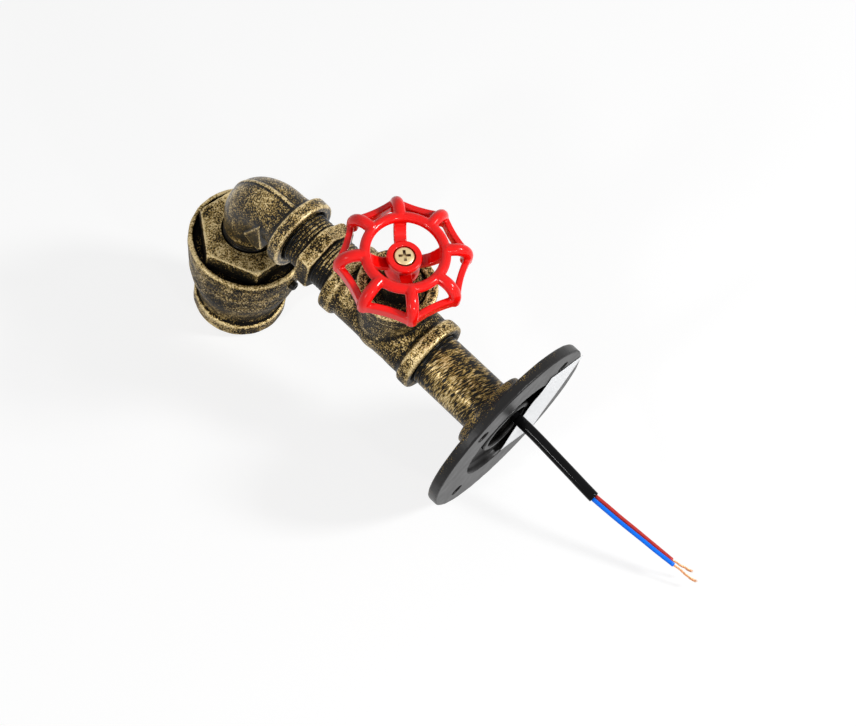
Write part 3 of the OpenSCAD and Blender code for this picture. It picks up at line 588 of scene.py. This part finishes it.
def giltCasting(name):
    # black paint on a sandy casting, dry-brushed with gold that stays on the grain's tops and on open edges;
    # crevices and sunk corners lose gold as a painted shade, and upward faces gain it partly by the brush and
    # partly as a painted top light
    coat = giltCoats[name]
    slopeFrom, slopeTo, byBrushAndTopLight = coat["above"]
    s = Shader(name)
    where = s.place()
    upward = s.axis(s.node("ShaderNodeTexCoord", output="Normal"), 2)
    sand = s.swing(where, gilt["grain"], 2, 0.6) * gilt["byGrain"]
    clumps = s.noise(where, gilt["clumps"], 3, 0.6)
    smears = s.swing(where, gilt["smears"], 4, 0.65)
    blotches = s.swing(where, gilt["blotches"], 2)
    cover = (clumps - 0.5) * gilt["byClumps"] + smears * gilt["bySmears"] + blotches * gilt["byBlotches"]
    # painted shade: gold taken away in crevices where ambient occlusion is low
    openToLight = (s.exposed(gilt["shadeReach"]) - gilt["shadeNeutral"]) * gilt["byCreviceShade"]
    # more gold on upward faces, partly dry brushing from above and partly a painted top light; raised edges
    # gain gold as wear, sunk corners lose it as a painted shade
    brushAndShade = openToLight + upward.between(slopeFrom, slopeTo) * byBrushAndTopLight + s.attribute("raised") * coat["edge"]
    colour, gold = giltLayers(s, sand + cover + brushAndShade + coat["amount"])
    roughness = gilt["roughness"] - gold * gilt["goldSmoother"] + smears * gilt["smearRougher"]
    return s.finish(Base_Color=colour, Metallic=gold * gilt["metallic"], Roughness=roughness,
                    Specular_IOR_Level=coat["gloss"], Coat_Weight=coat["coat"],
                    Coat_Roughness=gilt["coatRoughness"], Coat_IOR=gilt["coatIor"],
                    Normal=s.bump(sand * 0.5 + clumps, *gilt["relief"]))


flangePaint = {
    # black goes into crevices and the recess as a painted shade; open paint lies between black and grey by a
    # slow noise
    "black": (0.0045, 0.0043, 0.0042),
    "grey": (0.0105, 0.0100, 0.0100),
    # where flecks set in: distance from the wall and radius, metres
    "hubFrom": (0.0054, 0.0125),
    "hubAcross": (0.0150, 0.0160),
    "frontFrom": (0.0010, 0.0054),
    "frontAcross": (0.0283, 0.0293),
    "fleck": 0.00055,
    "fleckAt": (0.66, 0.72),
    "byPatches": 0.5,
    "byFront": 0.06,
    "byHub": 0.13,
    "patches": 0.010,
    # reach and levels of the ambient occlusion that paints that shade
    "shadeReach": 0.008,
    "unshadedAt": (0.45, 0.9),
    "roughness": 0.36,
    "uneven": 0.14,
    "gloss": 0.22,
    "grain": 0.0008,
    "relief": (0.00005, 0.4),
}


def blackCasting():
    # flange: smooth black paint, gold flecks towards its front edge and many of them on the hub; its crevices
    # and recess go black as a painted shade
    paint = flangePaint
    s = Shader("blackCasting")
    where = s.place()
    slow = s.swing(where, paint["patches"], 3)
    fleck = s.noise(where, paint["fleck"], 3, 0.6)
    ahead = s.axis(where, 1) * -1
    across = (s.axis(where, 0) ** 2 + s.axis(where, 2) ** 2) ** 0.5
    hub = ahead.between(*paint["hubFrom"]) * across.between(*paint["hubAcross"])
    front = ahead.between(*paint["frontFrom"]) * across.between(*paint["frontAcross"])
    level = fleck + slow * paint["byPatches"] + front * paint["byFront"] + hub * paint["byHub"]
    rub = level.between(*paint["fleckAt"]) * front.larger(hub)
    # painted shade: black in crevices and the recess where ambient occlusion is low
    openToLight = s.exposed(paint["shadeReach"]).between(*paint["unshadedAt"])
    ground = s.blend(openToLight * (slow * 0.5 + 0.75), paint["black"], paint["grey"])
    return s.finish(Base_Color=s.blend(rub, ground, gilt["gold"]), Metallic=rub * gilt["metallic"],
                    Roughness=paint["roughness"] + slow * paint["uneven"], Specular_IOR_Level=paint["gloss"],
                    Normal=s.bump(s.noise(where, paint["grain"], 4, 0.6), *paint["relief"]))


pipeBrush = {
    # each pattern is drawn out round the pipe by its stretch and leans by its slant, in degrees
    "strokes": 0.00056,
    "stretch": (0.16, 1, 0.16),
    "slant": 16,
    "wideStrokes": 0.0016,
    "wideStretch": (0.22, 1, 0.22),
    "wideSlant": -18,
    "patches": 0.011,
    "specks": 0.0005,
    # reach and middle of the painted crevice shade, as in the gilt
    "shadeReach": 0.007,
    "shadeNeutral": 0.95,
    "byStrokes": 1.6,
    "byWideStrokes": 0.55,
    "byPatches": 0.85,
    "bySpecks": 0.30,
    # weight of the painted crevice shade
    "byCreviceShade": 0.4,
    "bore": (0.0118, 0.0128),     # radii between which the level rises by 1, so that the bore stays black
    "amount": -0.47,
    "roughness": 0.36,
    "goldSmoother": 0.08,
    "gloss": 0.10,
    "coat": 0.15,
    "coatRoughness": 0.24,
    "relief": (0.00022, 0.8),
}


def brushedPipe():
    # black pipe wiped round with gold, in short strokes a little off the hoop direction; less gold in
    # crevices is a painted shade
    brush = pipeBrush
    s = Shader("brushedPipe")
    slanted = s.place(brush["stretch"], (0, 0, math.radians(brush["slant"])))
    wideSlanted = s.place(brush["wideStretch"], (0, 0, math.radians(brush["wideSlant"])))
    plain = s.place()
    strokes = s.swing(slanted, brush["strokes"], 3, 0.6, 0.2) * brush["byStrokes"]
    wide = s.noise(wideSlanted, brush["wideStrokes"], 3, 0.6)
    patches = s.swing(plain, brush["patches"], 3, 0.6) * brush["byPatches"]
    specks = s.swing(plain, brush["specks"], 2, 0.6) * brush["bySpecks"]
    # painted shade: gold taken away where ambient occlusion is low
    openToLight = (s.exposed(brush["shadeReach"]) - brush["shadeNeutral"]) * brush["byCreviceShade"]
    level = strokes + patches + specks + (wide - 0.5) * brush["byWideStrokes"] + openToLight
    bore = ((s.axis(plain, 0) ** 2 + s.axis(plain, 2) ** 2) ** 0.5).between(*brush["bore"])
    colour, gold = giltLayers(s, level + bore + brush["amount"])
    return s.finish(Base_Color=colour, Metallic=gold * gilt["metallic"],
                    Roughness=brush["roughness"] - gold * brush["goldSmoother"],
                    Specular_IOR_Level=brush["gloss"], Coat_Weight=brush["coat"],
                    Coat_Roughness=brush["coatRoughness"], Coat_IOR=gilt["coatIor"],
                    Normal=s.bump(strokes * 0.8 + wide * 0.5, *brush["relief"]))


threadBlack = {
    "oil": (0.0035, 0.0033, 0.0032),
    "grain": 0.0005,
    "patches": 0.005,
    "byNoise": 1.2,
    "goldAt": (0.22, 0.5),
    "goldShare": 0.35,
    "roughness": 0.24,
    "uneven": 0.2,
    "gloss": 0.16,
    "relief": (0.00006, 0.5),
}


def blackThread():
    # oiled black thread with a trace of gold in places
    s = Shader("blackThread")
    where = s.place()
    fine = s.noise(where, threadBlack["grain"], 3)
    slow = s.swing(where, threadBlack["patches"], 3)
    level = (fine - 0.5) * threadBlack["byNoise"] + slow * threadBlack["byNoise"]
    rub = level.between(*threadBlack["goldAt"]) * threadBlack["goldShare"]
    return s.finish(Base_Color=s.blend(rub, threadBlack["oil"], gilt["gold"]),
                    Roughness=threadBlack["roughness"] + slow * threadBlack["uneven"],
                    Specular_IOR_Level=threadBlack["gloss"], Normal=s.bump(fine, *threadBlack["relief"]))


enamel = {
    # darker red that crevices get as a painted shade
    "shadeInCrevices": (0.42, 0.001, 0.001),
    "deep": (0.88, 0.003, 0.002),
    "pale": (0.97, 0.006, 0.004),
    # reach and levels of the ambient occlusion for that painted shade
    "shadeReach": 0.004,
    "unshadedAt": (0.2, 1.0),
    "slow": 0.006,
    "fine": 0.0014,
    "roughness": 0.19,
    "uneven": 0.05,
    "gloss": 0.11,
    "coat": 0.36,
    "coatRoughness": 0.12,
    "relief": (0.00010, 0.5),
}


def redEnamel():
    # thick gloss paint: a slow unevenness, a clear coat and a painted shade that darkens it in crevices
    s = Shader("redEnamel")
    where = s.place()
    slow = s.noise(where, enamel["slow"], 2)
    fine = s.noise(where, enamel["fine"], 2)
    # painted shade: darker red where ambient occlusion is low
    openToLight = s.exposed(enamel["shadeReach"]).between(*enamel["unshadedAt"])
    colour = s.blend(openToLight, enamel["shadeInCrevices"], s.blend(slow, enamel["deep"], enamel["pale"]))
    return s.finish(Base_Color=colour, Roughness=enamel["roughness"] + slow * enamel["uneven"],
                    Specular_IOR_Level=enamel["gloss"], Coat_Weight=enamel["coat"],
                    Coat_Roughness=enamel["coatRoughness"],
                    Normal=s.bump(slow * 0.8 + fine * 0.2, *enamel["relief"]))


bareMetal = {
    "patches": 0.003,
    "grain": 0.0008,
    "slot": 0.0014,              # width of the slots that are darkened as a painted shade
    "unshadedAt": (0.45, 0.85),
    "metallic": (0.2, 0.7),      # in the painted slot shade, and what metal out of it adds
    "uneven": 0.16,
    "relief": (0.00004, 0.5),
}
brassLook = {
    "deep": (0.66, 0.49, 0.24),
    "pale": (0.80, 0.65, 0.38),
    # colour of the painted shade in slots
    "slotShade": (0.09, 0.025, 0.006),
    "roughness": 0.34,
}
steelLook = {
    "deep": (0.30, 0.29, 0.27),
    "pale": (0.42, 0.41, 0.39),
    # colour of the painted shade in slots
    "slotShade": (0.05, 0.03, 0.02),
    "roughness": 0.36,
}


def plainMetal(name, look):
    # turned or drawn metal, its slots darkened as a painted shade
    s = Shader(name)
    where = s.place()
    slow = s.noise(where, bareMetal["patches"], 3)
    # painted shade: darker and less metallic where ambient occlusion is low
    outOfShade = s.exposed(bareMetal["slot"]).between(*bareMetal["unshadedAt"])
    inShade, whenOutOfShade = bareMetal["metallic"]
    return s.finish(Base_Color=s.blend(outOfShade, look["slotShade"], s.blend(slow, look["deep"], look["pale"])),
                    Metallic=inShade + outOfShade * whenOutOfShade,
                    Roughness=look["roughness"] + (slow - 0.5) * bareMetal["uneven"],
                    Normal=s.bump(s.noise(where, bareMetal["grain"], 3), *bareMetal["relief"]))


glazeLook = {
    "deep": (0.70, 0.67, 0.60),
    "pale": (0.78, 0.76, 0.70),
    "patches": (0.008, 3),
    "grain": (0.0012, 3),
    "relief": (0.00005, 0.4),
    "roughness": 0.18,
    "uneven": 0.1,
    "fixed": {"Coat_Weight": 0.4, "Coat_Roughness": 0.08},
}
packingLook = {
    "deep": (0.02, 0.019, 0.018),
    "pale": (0.06, 0.055, 0.05),
    "fibre": 0.0005,
    "roughness": 0.8,
    "relief": (0.0001, 0.7),
}


def softPacking():
    # dark wound fibres
    s = Shader("softPacking")
    fibre = s.noise(s.place(), packingLook["fibre"], 3)
    return s.finish(Base_Color=s.blend(fibre, packingLook["deep"], packingLook["pale"]),
                    Roughness=packingLook["roughness"], Normal=s.bump(fibre, *packingLook["relief"]))


finishes = cordFinishes | {
    "gilt": giltCasting("giltCasting"),
    "giltHex": giltCasting("giltHex"),
    "giltBushing": giltCasting("giltBushing"),
    "giltBell": giltCasting("giltBell"),
    "giltElbow": giltCasting("giltElbow"),
    "black": blackCasting(),
    "pipe": brushedPipe(),
    "thread": blackThread(),
    "enamel": redEnamel(),
    "brass": plainMetal("paleBrass", brassLook),
    "steel": plainMetal("turnedSteel", steelLook),
    "holder": unevenFinish("glazedHolder", glazeLook),
    "packing": softPacking(),
}
# nodes whose own solid is drawn, with their finish
plainNodes = {
    "wall_nipple": "pipe", "branch_plug": "gilt", "stem_packing": "packing", "gland_nut": "giltHex",
    "valve_stem": "steel", "wheel_screw": "brass", "lock_screw": "thread", "lamp_holder": "holder",
    "screw_shell": "brass", "centre_contact": "brass", "terminals": "brass", "terminal_screws": "steel",
    "snap_ring": "steel", "pipe_cord": "sheath", "head_cord": "sheath", "head_leads": "lead",
}
for node, finishName in plainNodes.items():
    dress(nodes[node], finishes[finishName])
print("finishes made")


# the flat sides of the elbow's inner web, a little proud of its round; mm
webSides = {
    # outline seen from the side: distance from the wall and height
    "outline": ((147.9, -15.6), (149.9, -18.6), (154.4, -19.2), (159.9, -15.9), (150.1, 3.2)),
    "inner": 11.0,
    "outer": 14.45,
    "draft": 0.0857,
}


def addWebSides(work):
    # one drafted slab on either side; its outer face stands at outer + draft * height from the middle
    distance, height = np.array(webSides["outline"]).T
    innerX = np.full(len(height), webSides["inner"])
    outerX = webSides["outer"] + webSides["draft"] * height
    for side in (-1, 1):
        rings = [np.stack([side * x, -distance, height], axis=1) for x in (innerX, outerX)]
        inner, outer = ([work.verts.new(corner) for corner in inMetres(ring).tolist()] for ring in rings)
        work.faces.new(inner)
        work.faces.new(outer)
        for k in range(len(inner)):
            after = (k + 1) % len(inner)
            work.faces.new((inner[k], inner[after], outer[after], outer[k]))


# castings
additions = {"street_elbow": addWebSides}
castings = {
    # node: body, width of the skin's squares, smoothing steps, height of the lumps, finish, slot
    "wall_flange": ("base", 0.0005, 1, 0.00003, "black", "black_casting"),
    "tee": ("base", 0.0005, 5, 0.00007, "gilt", "gilt_casting"),
    "hex_nipple": ("base", 0.00036, 0, 0.00001, "giltHex", "gilt_casting"),
    "street_elbow": ("head", 0.00042, 1, 0.00004, "giltElbow", "gilt_casting"),
    "hex_bushing": ("head", 0.00042, 0, 0.00003, "giltBushing", "gilt_casting"),
    "bell": ("head", 0.00053, 2, 0.00008, "giltBell", "gilt_casting"),
    "handwheel": ("wheel", 0.00034, 6, 0.0, "enamel", "red_enamel"),
}
firstSeed = sandCasting["firstSeed"]
for seed, (node, (body, voxel, steps, lumps, finishName, slot)) in enumerate(castings.items(), firstSeed):
    piece = castCopy(node, f"{node}_casting", voxel, steps, lumps, seed, additions.get(node))
    dress(piece, finishes[finishName])
    settle(piece, body, node)
print("castings made")


# the hub's turned shoulder round the pipe
shoulder = {
    "innerR": 0.01355,
    "chamfer": 0.0004,
    "faceA": 0.0140,
    "outerR": 0.0194,
    "footR": 0.0236,
    "footA": 0.0050,
    "edge": 0.0011,
    "edgeRows": 9,
    "filletRows": 16,
    "around": 160,
}


def hubShoulder():
    # profile (radius, distance from the wall): flat face, rounded edge, then a cubic fillet down to the plate
    inner, chamfer, edge = shoulder["innerR"], shoulder["chamfer"], shoulder["edge"]
    outer, face, foot = shoulder["outerR"], shoulder["faceA"], shoulder["footA"]
    turn = np.linspace(0, np.pi / 2, shoulder["edgeRows"])
    edgeR = outer - edge + edge * np.sin(turn)
    edgeA = face - edge + edge * np.cos(turn)
    t = np.linspace(0, 1, shoulder["filletRows"])[1:]
    filletR = outer + (shoulder["footR"] - outer) * t**3
    filletA = edgeA[-1] + (foot - edgeA[-1]) * t
    r = np.r_[inner, inner, inner + chamfer, edgeR, filletR, inner]
    a = np.r_[foot, face - chamfer, face, edgeA, filletA, foot]
    angle = np.linspace(0, 2 * np.pi, shoulder["around"], endpoint=False)
    grid = np.stack([r[:, None] * np.cos(angle), np.broadcast_to(-a[:, None], (len(r), len(angle))),
                     r[:, None] * np.sin(angle)], axis=-1)
    return closedUp(makeObject("hub_shoulder", grid.reshape(-1, 3), gridFaces(len(r), len(angle))))


hub = hubShoulder()
dress(hub, finishes["black"])
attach(hub, "base")
print("hub turned")


# threads
threads = {
    "pitch": 0.00181,
    "depth": 0.0008,
    "rootR": 0.01262,
    "wall": 0.0012,
    "fade": 0.0008,         # height over which the thread runs in and out
    "fullness": 1.25,       # above 1 the tooth's top is flat
    "rounding": 0.9,
    "steps": 14,
    "around": 96,
    # name: body, axis start, axis direction, length
    "places": {
        "pipe_thread": ("base", (0, -0.0442, 0), (0, -1, 0), 0.0052),
        "nipple_thread_tee": ("base", (0, -0.1052, 0), (0, -1, 0), 0.0121),
        "nipple_thread_elbow": ("base", (0, -0.1240, 0), (0, -1, 0), 0.0112),
        "leg_thread": ("head", (0, -0.1668, -0.0290), (0, 0, -1), 0.0055),
    },
}


def threadSleeve(name, start, axis, length, aside=(0.31, 0.2, 0.9)):
    # radius = root + depth * rounded tooth of (height / pitch - angle / turn), a helix round the axis
    axis = np.asarray(axis, float)
    side = np.cross(axis, aside)
    side /= np.linalg.norm(side)
    up = np.cross(axis, side)
    rows = int(length / threads["pitch"] * threads["steps"])
    height = np.linspace(0, length, rows)[:, None]
    angle = np.linspace(0, 2 * np.pi, threads["around"], endpoint=False)[None, :]
    phase = (height / threads["pitch"] - angle / (2 * np.pi)) % 1
    tooth = np.clip(threads["fullness"] * (1 - np.abs(2 * phase - 1)), 0, 1) ** threads["rounding"]
    fade = np.clip(np.minimum(height, length - height) / threads["fade"], 0, 1)
    radius = threads["rootR"] + threads["depth"] * tooth * fade
    ring = np.cos(angle)[..., None] * side + np.sin(angle)[..., None] * up
    outer = np.asarray(start) + height[..., None] * axis + radius[..., None] * ring
    inner = threads["rootR"] - threads["wall"]
    foot = np.asarray(start) + inner * ring
    top = np.asarray(start) + length * axis + inner * ring
    points = np.concatenate([foot, outer, top, foot]).reshape(-1, 3)
    return makeObject(name, points, gridFaces(rows + 3, threads["around"]))


for name, (body, start, axis, length) in threads["places"].items():
    sleeve = closedUp(threadSleeve(name, start, axis, length))
    dress(sleeve, finishes["thread"])
    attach(sleeve, body)
print("threads cut")


# paper patch on the flange's back
patch = {
    "corners": ((-0.0200, 0.0255), (-0.0015, -0.0245), (-0.0275, -0.0347), (-0.0460, 0.0153)),   # x, z
    "lift": 0.00012,
    "thickness": 0.00012,
    "rows": 70,
    "columns": 40,
    # the sheet sinks into the recess from sagR inwards, fully after sagRun
    "sag": 0.0006,
    "sagR": 0.0272,
    "sagRun": 0.010,
    # its unevenness: height, then radians and start of the wave along either side
    "wave": 0.00010,
    "waveU": (9.0, 1.0),
    "waveV": (5.0, 0.5),
}
paperLook = {
    "deep": (0.74, 0.75, 0.76),
    "pale": (0.80, 0.81, 0.82),
    "patches": 0.009,
    "fibre": 0.0009,
    "byFibre": 0.6,
    "roughness": 0.55,
    "uneven": 0.2,
    "relief": (0.00008, 0.4),
}


def barePaper():
    # white paper: slow shading, fine fibres
    s = Shader("barePaper")
    where = s.place()
    fibre = s.noise(where, paperLook["fibre"], 4)
    slow = s.noise(where, paperLook["patches"], 3)
    return s.finish(Base_Color=s.blend(slow, paperLook["deep"], paperLook["pale"]),
                    Roughness=paperLook["roughness"] + (fibre - 0.5) * paperLook["uneven"],
                    Normal=s.bump(fibre * paperLook["byFibre"] + slow, *paperLook["relief"]))


def makePatch():
    # corner-to-corner blend over u and v;
    # y = lift + wave * (1 + sine of u * sine of v) - sag * dip * sin(pi u)
    u, v = np.meshgrid(np.linspace(0, 1, patch["rows"]), np.linspace(0, 1, patch["columns"]), indexing="ij")
    shares = np.stack([(1 - u) * (1 - v), u * (1 - v), u * v, (1 - u) * v], axis=-1)
    flat = shares @ np.array(patch["corners"])
    x, z = flat[..., 0], flat[..., 1]
    dip = np.clip((patch["sagR"] - np.hypot(x, z)) / patch["sagRun"], 0, 1) ** 2
    (alongU, startU), (alongV, startV) = patch["waveU"], patch["waveV"]
    wave = np.sin(u * alongU + startU) * np.sin(v * alongV + startV)
    y = patch["lift"] + patch["wave"] * (1 + wave) - patch["sag"] * dip * np.sin(np.pi * u)
    back = np.stack([x, y, z], axis=-1).reshape(-1, 3)
    front = back + np.array([0, patch["thickness"], 0])
    n = len(back)
    quads = gridFaces(*u.shape, closed=False)
    faces = quads[:, ::-1].tolist() + (quads + n).tolist()
    index = np.arange(n).reshape(u.shape)
    edge = np.concatenate([index[0, :-1], index[:-1, -1], index[-1, :0:-1], index[:0:-1, 0]])
    nextEdge = np.roll(edge, -1)
    faces += np.stack([edge, nextEdge, nextEdge + n, edge + n], axis=1).tolist()
    return closedUp(makeObject("paper_patch", np.concatenate([back, front]), faces))


paper = makePatch()
dress(paper, barePaper())
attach(paper, "base")
print("patch made")


# floor, backdrop and light
studio = {
    "floorSize": 4.0,
    "floorColour": 0.85,
    "floorRoughness": 0.9,
    "floorDrop": 0.0003,        # kept clear of the rim and the mouth
    "mottleSize": 0.05,
    "mottle": 0.004,
    "whiteShare": 0.70,
    "whiteStrength": 1.14,
    "mouthR": 0.0229,
    "worldFill": 0.22,
    "aim": (0, -0.08, 0),
    # place, size, power
    "right": ((-0.50, 0.65, 1.00), 0.22, 13.0),
    "left": ((1.12, -0.16, 0.56), 0.12, 3.2),
    "front": ((0.35, 0.95, 0.75), 0.11, 2.6),
}


def restingPlane():
    # the plane that touches the flange's rim and the bell's mouth from below
    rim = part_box("wall_flange")[0].z
    low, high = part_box("bell")
    nearEdge = 0.5 * (low.y + high.y) + studio["mouthR"]
    slope = math.atan2(rim - low.z, -nearEdge)
    return Vector((0, 0, rim)), Vector((0, -math.sin(slope), math.cos(slope)))


def seenRay(s):
    # 1 for a ray from the camera, a glossy or a transmitted one
    camera, glossy, transmitted = (s.node("ShaderNodeLightPath", output=f"Is {kind} Ray")
                                   for kind in ("Camera", "Glossy", "Transmission"))
    return camera.larger(glossy).larger(transmitted)


def paleFloor():
    # pale diffuse ground, mostly an even white where it is seen
    s = Shader("paleFloor")
    grey = studio["floorColour"]
    mottled = s.noise(s.place(), studio["mottleSize"], 2) * studio["mottle"]
    s.finish(Base_Color=(grey, grey, grey), Roughness=studio["floorRoughness"] + mottled,
             Specular_IOR_Level=0.0)
    white = s.node("ShaderNodeEmission", None, {"Color": (1, 1, 1), "Strength": studio["whiteStrength"]})
    ground = Value(s, s.surface.outputs[0])
    mixed = s.node("ShaderNodeMixShader", None, {0: seenRay(s) * studio["whiteShare"], 1: ground, 2: white})
    s.put(s.tree.nodes["Material Output"].inputs["Surface"], mixed)
    return s.material


def makeFloor():
    # a square in the resting plane, a little below it
    place, normal = restingPlane()
    place -= normal * studio["floorDrop"]
    side = Vector((1, 0, 0)) * studio["floorSize"] / 2
    ahead = normal.cross(side)
    corners = [place + side * i + ahead * j for i, j in ((-1, -1), (1, -1), (1, 1), (-1, 1))]
    floor = makeObject("floor", corners, [(0, 1, 2, 3)], smooth=False)
    dress(floor, paleFloor())


def makeWorld():
    # even white where it is seen, a weaker fill where it only lights
    world = bpy.data.worlds.new("paleRoom")
    bpy.context.scene.world = world
    world.use_nodes = True
    s = Shader.around(world)
    fill = s.node("ShaderNodeBackground", None, {"Color": (1, 1, 1), "Strength": studio["worldFill"]})
    white = s.node("ShaderNodeBackground", None, {"Color": (1, 1, 1), "Strength": 1.0})
    mixed = s.node("ShaderNodeMixShader", None, {0: seenRay(s), 1: fill, 2: white})
    s.put(s.tree.nodes["World Output"].inputs["Surface"], mixed)


def makeLamp(name, place, size, power):
    data = bpy.data.lights.new(name, "AREA")
    data.shape = "SQUARE"
    data.size = size
    data.energy = power
    lamp = bpy.data.objects.new(name, data)
    bpy.context.scene.collection.objects.link(lamp)
    aim = Vector(studio["aim"]) - Vector(place)
    lamp.rotation_euler = aim.to_track_quat("-Z", "Y").to_euler()
    lamp.location = place


makeFloor()
makeWorld()
for name in ("right", "left", "front"):
    makeLamp(name, *studio[name])
bpy.context.scene.view_settings.view_transform = "Standard"
print("studio lit")
